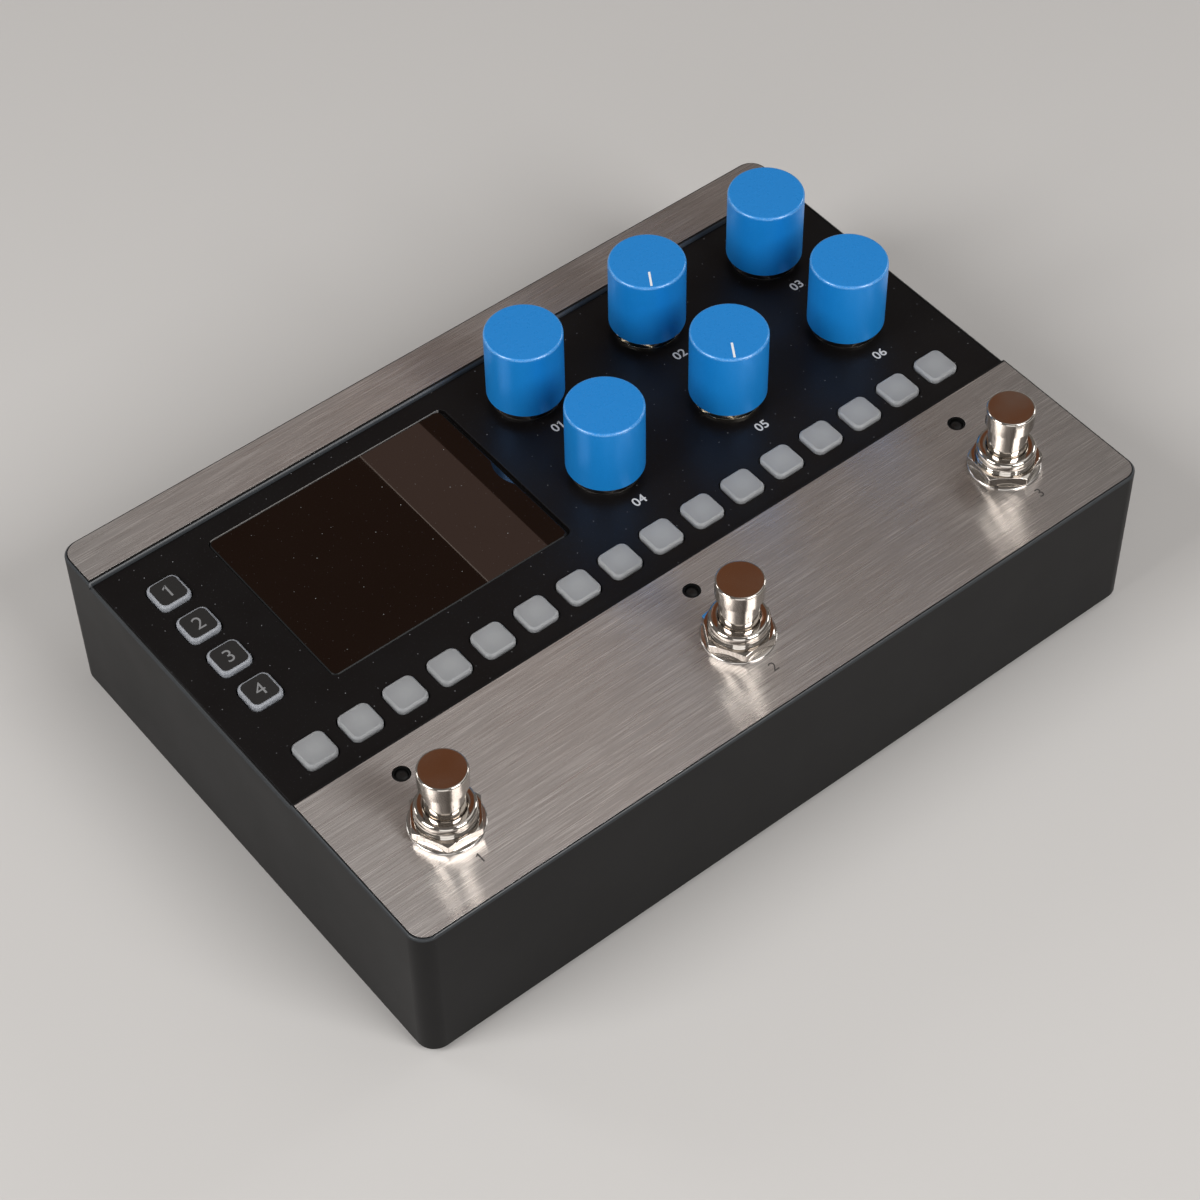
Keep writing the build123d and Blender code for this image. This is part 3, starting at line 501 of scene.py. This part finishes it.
def turned(name, profile, centre, thread=None, sweep=360.0, start=0.0):
    """Closed shape turned about an upright axis from a closed profile of (radius, height) points.

    A thread is (low, high, pitch, depth, least_radius): its groove runs between those heights, where the
    profile is wider than the least radius. A sweep short of the full turn leaves a slit, closed by two
    end faces.
    """
    shape = bmesh.new()
    full = sweep >= 360.0
    columns = turning_steps if full else turning_steps + 1
    rings = []
    for radius, height in profile:
        ring = []
        for step in range(columns if radius > 0 else 1):
            angle = math.radians(start + sweep * step / turning_steps)
            reach = radius
            if thread:
                reach -= groove_depth(thread, radius, height, angle)
            place = (centre.x + reach * math.cos(angle), centre.y + reach * math.sin(angle), height)
            ring.append(shape.verts.new(place))
        rings.append(ring)
    closing = [] if len(rings[0]) == 1 else rings[:1]
    for low, high in zip(rings, rings[1:] + closing):
        for step in range(turning_steps):
            around = ((low, step), (low, step + 1), (high, step + 1), (high, step))
            nearby = [ring[place % len(ring)] for ring, place in around]
            corners = list(dict.fromkeys(nearby))
            if len(corners) > 2:
                shape.faces.new(corners)
    if not full:
        shape.faces.new([ring[0] for ring in rings])
        shape.faces.new([ring[-1] for ring in rings])
    bmesh.ops.recalc_face_normals(shape, faces=shape.faces)
    mesh = mesh_of(name, shape)
    mesh.shade_smooth()
    mesh.set_sharp_from_angle(angle=turned_angle)
    return mesh


knob_blue = new_finish("knob_blue", (0.0075, 0.18, 0.5), roughness=0.3, specular_ior_level=0.7)
knob_grain = noise_over(knob_blue, grain=0.17 * mm, detail=1.0)
vary_relief(knob_blue, knob_grain, height=0.006 * mm)
vary_roughness(knob_blue, noise_over(knob_blue, grain=1.5 * mm), low=0.26, high=0.3)
lay_colour(knob_blue, between(knob_blue, knob_grain, low=0.0, high=1.0), (0.012, 0.205, 0.56))
# Painted light: the sides get a paler, partly metallic copy of the blue, set for how the light falls on
# them.
side_blue_lit = new_finish(
    "side_blue_lit", (0.006, 0.26, 0.73), roughness=0.34, metallic=0.25, specular_ior_level=0.9
)
side_grain = noise_over(side_blue_lit, grain=0.17 * mm, detail=1.0)
vary_relief(side_blue_lit, side_grain, height=0.016 * mm)
lay_colour(side_blue_lit, between(side_blue_lit, side_grain, low=0.0, high=1.0), (0.012, 0.285, 0.79))
# Painted highlight: the rim gets a paler blue, with pale specks over it, standing in for the light the rim
# catches.
rim_blue_highlight = new_finish("rim_blue_highlight", (0.012, 0.215, 0.58), roughness=0.25, specular_ior_level=0.9)
rim_grain_and_glints = noise_over(rim_blue_highlight, grain=0.22 * mm, detail=1.0)
vary_relief(rim_blue_highlight, rim_grain_and_glints, height=0.02 * mm)
lay_colour(rim_blue_highlight, between(rim_blue_highlight, rim_grain_and_glints, low=-0.2, high=0.6), (0.17, 0.41, 0.75))
pointer_white = new_finish("pointer_white", (0.75, 0.76, 0.78), roughness=0.5)
vary_relief(pointer_white, noise_over(pointer_white, grain=0.1 * mm), height=0.003 * mm)
lay_colour(pointer_white, noise_over(pointer_white, grain=0.4 * mm), (0.68, 0.69, 0.71))
for row in ("front", "rear"):
    for column in ("left", "middle", "right"):
        knob = f"knob_{row}_{column}"
        shaft_low, shaft_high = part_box(f"shaft_{row}_{column}")
        low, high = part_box(knob)
        top = top_middle(knob)
        radius = (high.x - low.x) / 2
        bore = (shaft_high.x - shaft_low.x) / 2
        ceiling = low.z + knob_recess_depth
        profile = [
            (0.0, shaft_high.z + shaft_end_gap),
            (bore, shaft_high.z + shaft_end_gap),
            (bore, ceiling),
            (knob_recess_radius, ceiling),
            (knob_recess_radius, low.z),
            (radius - knob_foot, low.z),
            (radius, low.z + knob_foot),
            *arc((radius - knob_rim, high.z - knob_rim), knob_rim, 0, 90, rim_steps),
            (0.0, high.z),
        ]
        mesh = turned(knob, profile, top)
        skin = add_piece(f"{knob}_skin", mesh, knob_blue, "knob_blue", knob, knob)
        # Painted highlight on the rim faces.
        give_slopes(skin.data, rim_blue_highlight)
        # Painted light on the side faces.
        give_slopes(skin.data, side_blue_lit, steepest=-0.1, levellest=0.15)
        level_normals(skin)
        if column == "middle":
            outer = radius - pointer_inset
            inner = outer - pointer_length
            along = Vector((math.cos(pointer_angle), math.sin(pointer_angle)))
            across = Vector((-along.y, along.x)) * pointer_width / 2
            near, far = along * inner, along * outer
            ends = [near - across, far - across, far + across, near + across]
            line = flat_print(f"pointer_{row}", [tuple(end) for end in ends], top, print_film)
            add_piece(f"pointer_{row}", line, pointer_white, "knob_blue", knob)

# Nuts and shafts under the knobs: plated steel nuts clamp the controls' bushes to the panel.
# The nuts are painted dark, a painted shade under the knobs, and the two under the middle knobs are
# brighter; the shafts are turned steel with one flat.
plain_steel = new_finish("plain_steel", (0.5, 0.5, 0.5), roughness=0.35, metallic=1.0)
vary_roughness(plain_steel, noise_over(plain_steel, grain=0.6 * mm), low=0.28, high=0.45)
lay_colour(plain_steel, noise_over(plain_steel, grain=3 * mm), (0.42, 0.42, 0.43))


def dress(node, finish):
    """Gives a solid that is shown as it is a finish of its own."""
    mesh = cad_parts[node].data
    mesh.materials.clear()
    mesh.materials.append(finish)


# Painted shade: the nuts are darker than any plated metal, standing in for the shade under the knobs.
nut_grey_shade = new_finish("nut_grey_shade", (0.13, 0.12, 0.112), roughness=0.4, metallic=1.0)
vary_roughness(nut_grey_shade, noise_over(nut_grey_shade, grain=2 * mm), low=0.32, high=0.48)
lay_colour(nut_grey_shade, noise_over(nut_grey_shade, grain=2 * mm), (0.1, 0.092, 0.086))
nut_bright = new_finish("nut_bright", (0.5, 0.45, 0.37), roughness=0.22, metallic=1.0)
vary_roughness(nut_bright, noise_over(nut_bright, grain=2 * mm), low=0.16, high=0.28)
lay_colour(nut_bright, noise_over(nut_bright, grain=2 * mm), (0.42, 0.38, 0.31))
nuts = eased_copy("control_nuts", nut_grey_shade, "nickel", edge=0.03 * mm)
nuts.data.materials.append(nut_bright)
low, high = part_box("knob_front_middle")
for face in nuts.data.polygons:
    if low.x < face.center.x < high.x:
        face.material_index = 1
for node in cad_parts:
    if node.startswith("shaft_"):
        dress(node, plain_steel)

# Footswitch bodies: a steel can under the roof, one piece with a threaded bush that comes up through it.
# Both are turned and plated; the bush ends in a rounded lip, and its bore guides the plunger.
footswitch_sides = ("left", "middle", "right")
bush_radius = 6.0 * mm
bush_lip = 0.8 * mm
bush_rise = 5.7 * mm
bush_bore = 4.05 * mm
bush_mouth = 0.35 * mm
bush_thread_pitch = 0.6 * mm
bush_thread_depth = 0.25 * mm
bush_thread_rows = 60
washer_thickness = 0.35 * mm
can_size = 17.0 * mm
can_corner = 1.0 * mm
can_height = 15.0 * mm
can_shell = 2.0 * mm
cavity_radius = 5.4 * mm


def hollow_can(name, middle, levels):
    """Closed shape through rings at given heights: round ones of a radius, or else rounded squares."""
    square = rounded_square(can_size, can_corner)
    shape = bmesh.new()
    rings = []
    for radius, height in levels:
        spots = square
        if radius:
            spots = [tuple(Vector(spot).normalized() * radius) for spot in square]
        rings.append([shape.verts.new((middle.x + x, middle.y + y, height)) for x, y in spots])
    for lower, upper in zip(rings, rings[1:]):
        for step in range(len(square)):
            after = (step + 1) % len(square)
            shape.faces.new((lower[step], lower[after], upper[after], upper[step]))
    shape.faces.new(rings[0])
    shape.faces.new(rings[-1])
    bmesh.ops.recalc_face_normals(shape, faces=shape.faces)
    return mesh_of(name, shape)


chrome = new_finish("chrome", (0.63, 0.585, 0.535), roughness=0.07, metallic=1.0)
vary_roughness(chrome, noise_over(chrome, grain=1.2 * mm), low=0.05, high=0.1)
lay_colour(chrome, noise_over(chrome, grain=6 * mm), (0.56, 0.52, 0.475))
trim_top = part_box("front_trim_plate")[1].z
can_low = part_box("footswitch_bodies")[0].z
roof_under = can_low + can_height
lip_top = trim_top + bush_rise
thread_low = trim_top + washer_thickness
thread_high = lip_top - bush_lip - bush_thread_pitch
thread_rows = [
    (bush_radius, thread_low + (thread_high - thread_low) * row / bush_thread_rows)
    for row in range(bush_thread_rows + 1)
]
bush = [
    (bush_bore, roof_under - can_shell),
    (bush_radius, roof_under - can_shell),
    *thread_rows,
    *arc((bush_radius - bush_lip, lip_top - bush_lip), bush_lip, 0, 90, 2 * rim_steps),
    *arc((bush_bore + bush_mouth, lip_top - bush_mouth), bush_mouth, 90, 180, rim_steps),
]
bush_thread = (thread_low, thread_high, bush_thread_pitch, bush_thread_depth, bush_radius - bush_lip / 2)
can_levels = [
    (None, can_low),
    (None, roof_under),
    (bush_radius, roof_under),
    (bush_radius, roof_under - can_shell),
    (cavity_radius, roof_under - can_shell),
    (cavity_radius, can_low + can_shell),
]
for side in footswitch_sides:
    middle = top_middle(f"footswitch_plunger_{side}")
    name = f"footswitch_bush_{side}"
    mesh = turned(name, bush, middle, bush_thread)
    level_normals(add_piece(name, mesh, chrome, "chrome", "case", "footswitch_bodies"))
    name = f"footswitch_can_{side}"
    mesh = hollow_can(name, middle, can_levels)
    add_piece(name, mesh, plain_steel, "chrome", "case", "footswitch_bodies")

# Footswitch washers and nuts: a thin split washer and a hexagon nut clamp each bush to the steel.
# They are stamped and turned steel, plated bright.
washer_radius = 7.5 * mm
washer_edge = 0.3 * mm
washer_slit = 6.0
washer_turns = {"left": 100.0, "middle": 80.0, "right": 214.0}
nickel = new_finish("nickel", (0.66, 0.63, 0.6), roughness=0.16, metallic=1.0)
vary_roughness(nickel, noise_over(nickel, grain=3 * mm), low=0.13, high=0.2)
lay_colour(nickel, noise_over(nickel, grain=2 * mm), (0.58, 0.55, 0.52))
washer_shoulder = trim_top + washer_thickness - washer_edge
washer = [
    (bush_radius, trim_top),
    (washer_radius, trim_top),
    (washer_radius, washer_shoulder),
    *arc((washer_radius - washer_edge, washer_shoulder), washer_edge, 0, 90, rim_steps)[1:],
    (bush_radius, trim_top + washer_thickness),
]
for side in footswitch_sides:
    middle = top_middle(f"footswitch_plunger_{side}")
    name = f"footswitch_washer_{side}"
    start = washer_turns[side] + washer_slit / 2
    mesh = turned(name, washer, middle, sweep=360.0 - washer_slit, start=start)
    level_normals(add_piece(name, mesh, nickel, "nickel", "case", "footswitch_washers"))
eased_copy("footswitch_nuts", chrome, "nickel", steps=3, edge=0.1 * mm)

# Footswitch plungers: turned and chromed stems that slide in the bushes, each with a wide cap for the foot.
# A shoulder at the lower end keeps them in, and fine lathe lines run round them.
stem_radius = 4.0 * mm
cap_radius = 4.85 * mm
cap_length = 4.0 * mm
cap_rim = 0.42 * mm
cap_foot = 0.12 * mm
shoulder_length = 2.0 * mm
turned_chrome = new_finish("turned_chrome", (0.66, 0.615, 0.565), roughness=0.1, metallic=1.0)
lathe_lines = noise_over(turned_chrome, grain=0.12 * mm, stretch=(60.0, 60.0, 1.0))
vary_relief(turned_chrome, lathe_lines, height=0.0012 * mm)
vary_roughness(turned_chrome, lathe_lines, low=0.07, high=0.14)
lay_colour(turned_chrome, noise_over(turned_chrome, grain=5 * mm), (0.6, 0.56, 0.51))
for side in footswitch_sides:
    plunger = f"footswitch_plunger_{side}"
    low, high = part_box(plunger)
    shoulder_radius = (high.x - low.x) / 2
    cap_low = high.z - cap_length
    profile = [
        (0.0, low.z),
        (shoulder_radius, low.z),
        (shoulder_radius, low.z + shoulder_length),
        (stem_radius, low.z + shoulder_length),
        (stem_radius, cap_low),
        (cap_radius - cap_foot, cap_low),
        (cap_radius, cap_low + cap_foot),
        *arc((cap_radius - cap_rim, high.z - cap_rim), cap_rim, 0, 90, 2 * rim_steps),
        (0.0, high.z),
    ]
    mesh = turned(plunger, profile, top_middle(plunger))
    level_normals(add_piece(f"{plunger}_skin", mesh, turned_chrome, "chrome", plunger, plunger))

# Status lights: three small lamps behind the footswitches, unlit, each a dark lens in a black holder.
# The holder is pressed up through the roof from below and ends level with the steel.
holder_radius = 1.75 * mm
lens_radius = 1.4 * mm
lens_recess = 0.6 * mm
lens_dome = 0.3 * mm
dome_radius = 1.372 * mm
dome_steps = 6
holder_edge = 0.12 * mm
holder_black = new_finish("holder_black", (0.003, 0.003, 0.003), roughness=0.5, specular_ior_level=0.1)
lay_colour(holder_black, noise_over(holder_black, grain=0.3 * mm), (0.005, 0.005, 0.005))
lens_dark = new_finish("lens_dark", (0.007, 0.0067, 0.0065), roughness=0.25, specular_ior_level=0.3)
lay_colour(lens_dark, noise_over(lens_dark, grain=0.8 * mm), (0.014, 0.0132, 0.013))
lights_low, lights_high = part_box("status_lights")
light_y = (lights_low.y + lights_high.y) / 2
for side in footswitch_sides:
    middle = Vector((top_middle(f"footswitch_plunger_{side}").x, light_y, lights_high.z))
    floor_z = lights_high.z - lens_recess
    holder = [
        (0.0, lights_low.z),
        (holder_radius, lights_low.z),
        (holder_radius, lights_high.z - holder_edge),
        (holder_radius - holder_edge, lights_high.z),
        (lens_radius, lights_high.z),
        (lens_radius, floor_z),
        (0.0, floor_z),
    ]
    mesh = turned(f"light_holder_{side}", holder, middle)
    add_piece(f"light_holder_{side}", mesh, holder_black, "lens_dark", "case", "status_lights")
    dome = [(0.0, floor_z)]
    for step in range(dome_steps):
        angle = math.radians(90 * step / dome_steps)
        dome.append((dome_radius * math.cos(angle), floor_z + lens_dome * math.sin(angle)))
    dome.append((0.0, floor_z + lens_dome))
    mesh = turned(f"light_lens_{side}", dome, middle)
    add_piece(f"light_lens_{side}", mesh, lens_dark, "lens_dark", "case", "status_lights")

# Rear sockets: four large jacks with nuts, two small jacks, a power inlet and a data socket.
# Their moulded black bodies stand behind the wall, and only noses, nuts and mouths show.
socket_black = new_finish("socket_black", (0.014, 0.014, 0.014), roughness=0.4)
socket_grain = noise_over(socket_black, grain=0.2 * mm)
vary_relief(socket_black, socket_grain, height=0.006 * mm)
lay_colour(socket_black, socket_grain, (0.022, 0.022, 0.022))
for node in ("audio_jacks", "small_jacks", "power_inlet"):
    eased_copy(node, socket_black, "jack_black", edge=0.12 * mm)
eased_copy("jack_nuts", nickel, "nickel", edge=0.1 * mm)
eased_copy("data_socket", plain_steel, "plain_steel", edge=0.05 * mm)

# Inside: the panel board with its switches and controls, the spacers over it, and the main board.
# They are hidden once the base plate is on, and keep the solids' own shapes.
board_green = new_finish("board_green", (0.015, 0.11, 0.045), roughness=0.35)
lay_colour(board_green, noise_over(board_green, grain=1.5 * mm), (0.02, 0.15, 0.06))
for node in ("panel_board", "main_board"):
    dress(node, board_green)
module_black = new_finish("module_black", (0.02, 0.02, 0.021), roughness=0.5)
lay_colour(module_black, noise_over(module_black, grain=0.5 * mm), (0.032, 0.032, 0.033))
for node in ("display_module", "key_switches"):
    dress(node, module_black)
for node in ("board_spacers", "encoder_bodies", "potentiometer_bodies"):
    dress(node, plain_steel)

# Printed numbers: plain numerals, white in front of the knobs and dark in front of the footswitches.
# They are screen printed, a thin film of ink on the panel and on the steel.
label_height = 2.2 * mm
label_film = 0.02 * mm
label_boldness = 0.012
knob_label_offset = 10.7 * mm
foot_label_offset = 10.2 * mm
ink_white = new_finish("ink_white", (0.5, 0.5, 0.5), roughness=0.6)
lay_colour(ink_white, noise_over(ink_white, grain=0.3 * mm), (0.42, 0.42, 0.43))
ink_dark = new_finish("ink_dark", (0.03, 0.026, 0.025), roughness=0.6)
lay_colour(ink_dark, noise_over(ink_dark, grain=0.3 * mm), (0.045, 0.04, 0.038))
panel_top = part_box("control_panel")[1].z
knob_order = [
    f"knob_{row}_{column}" for row in ("rear", "front") for column in ("left", "middle", "right")
]
for number, knob in enumerate(knob_order, start=1):
    name = f"knob_label_{number}"
    middle = top_middle(knob)
    place = Vector((middle.x, middle.y - knob_label_offset, panel_top))
    mesh = numeral_mesh(name, f"{number:02d}", label_height, place, label_film, label_boldness)
    add_piece(name, mesh, ink_white, "panel_black", "case")
for number, side in enumerate(footswitch_sides, start=1):
    name = f"foot_label_{number}"
    middle = top_middle(f"footswitch_plunger_{side}")
    place = Vector((middle.x, middle.y - foot_label_offset, trim_top))
    mesh = numeral_mesh(name, str(number), label_height, place, label_film)
    add_piece(name, mesh, ink_dark, "brushed_trim", "case")

# Studio: a pale floor in a dim room, soft boxes at the left and the front, weaker ones round the other
# sides, and a wide soft light overhead. A dark warm flag hangs where the caps and the display look, with a
# small bright card and a fine bright line beside it.
floor_size = 8.0
lamp_aim = (0, 0, 0.03)
room_grey = (0.17, 0.16, 0.152)
floor_pale = new_finish("floor_pale", (0.5, 0.485, 0.47), roughness=0.9, specular_ior_level=0.1)
lay_colour(floor_pale, noise_over(floor_pale, grain=0.4), (0.515, 0.5, 0.485))


def stage_sheet(name, size, middle, finish):
    """Level sheet of the studio, which isn't part of the object."""
    half_x = size[0] / 2
    half_y = size[1] / 2
    corners = [(-half_x, -half_y, 0), (half_x, -half_y, 0), (half_x, half_y, 0), (-half_x, half_y, 0)]
    mesh = bpy.data.meshes.new(name)
    mesh.from_pydata(corners, [], [(0, 1, 2, 3)])
    mesh.materials.append(finish)
    sheet = bpy.data.objects.new(name, mesh)
    sheet.location = middle
    bpy.context.scene.collection.objects.link(sheet)


def glow(name, colour, strength):
    """Finish of a card that sends out an even light."""
    finish = new_finish(name, (0.0, 0.0, 0.0), roughness=1.0)
    sockets = finish.node_tree.nodes["Principled BSDF"].inputs
    sockets["Emission Color"].default_value = (*colour, 1.0)
    sockets["Emission Strength"].default_value = strength
    return finish


def soft_box(name, place, size, radiance, aim=lamp_aim):
    """Square white lamp of an even radiance, turned to a point."""
    lamp = bpy.data.lights.new(name, "AREA")
    lamp.shape = "SQUARE"
    lamp.size = size
    lamp.energy = radiance * math.pi * size * size
    holder = bpy.data.objects.new(name, lamp)
    holder.location = place
    holder.rotation_euler = (Vector(aim) - Vector(place)).to_track_quat("-Z", "Y").to_euler()
    bpy.context.scene.collection.objects.link(holder)


flag_brown = glow("flag_brown", colour=(0.145, 0.056, 0.025), strength=1.0)
card_warm = glow("card_warm", colour=(0.66, 0.4, 0.31), strength=1.0)
edge_warm = glow("edge_warm", colour=(1.0, 0.8, 0.68), strength=2.4)
stage_sheet("floor", size=(floor_size, floor_size), middle=(0, 0, 0), finish=floor_pale)
stage_sheet("warm_flag", size=(0.66, 0.44), middle=(0.645, 0.815, 1.25), finish=flag_brown)
stage_sheet("bright_card", size=(0.052, 0.3), middle=(0.553, 0.89, 1.2), finish=card_warm)
stage_sheet("card_edge", size=(0.0006, 0.3), middle=(0.5267, 0.89, 1.2), finish=edge_warm)
soft_box("left_soft_box", place=(-0.87, 0.13, 0.76), size=0.5, radiance=11.0)
soft_box("front_soft_box", place=(0.18, -0.87, 0.76), size=0.5, radiance=11.0)
soft_box("low_fill_light", place=(-0.75, -0.95, 0.4), size=0.8, radiance=1.2)
soft_box("right_soft_box", place=(1.0, -0.06, 0.6), size=0.25, radiance=6.0)
soft_box("rear_soft_box", place=(-0.52, 0.85, 0.6), size=0.25, radiance=6.0)
soft_box("top_soft_light", place=(0.54, -0.15, 1.35), size=0.9, radiance=0.68, aim=(0, 0, 0))
room = bpy.data.worlds.new("dim_room")
room.use_nodes = True
room.node_tree.nodes["Background"].inputs["Color"].default_value = (*room_grey, 1.0)
bpy.context.scene.world = room

# Camera: where the photograph was taken from, with its angle of view in a square frame.
# Its place was worked out from the straight edges of the case and the row of step keys.
lens = 91.61
sensor = 36.0
camera_place = Vector((-246.04, -317.68, 492.02)) * mm
camera_turn = [math.radians(angle) for angle in (39.715, 0.757, -38.635)]
eye = bpy.data.cameras.new("photo_camera")
eye.lens = lens
eye.sensor_width = sensor
camera = bpy.data.objects.new("photo_camera", eye)
camera.location = camera_place
camera.rotation_euler = Euler(camera_turn)
bpy.context.scene.collection.objects.link(camera)
bpy.context.scene.camera = camera
bpy.context.scene.view_settings.view_transform = "Standard"
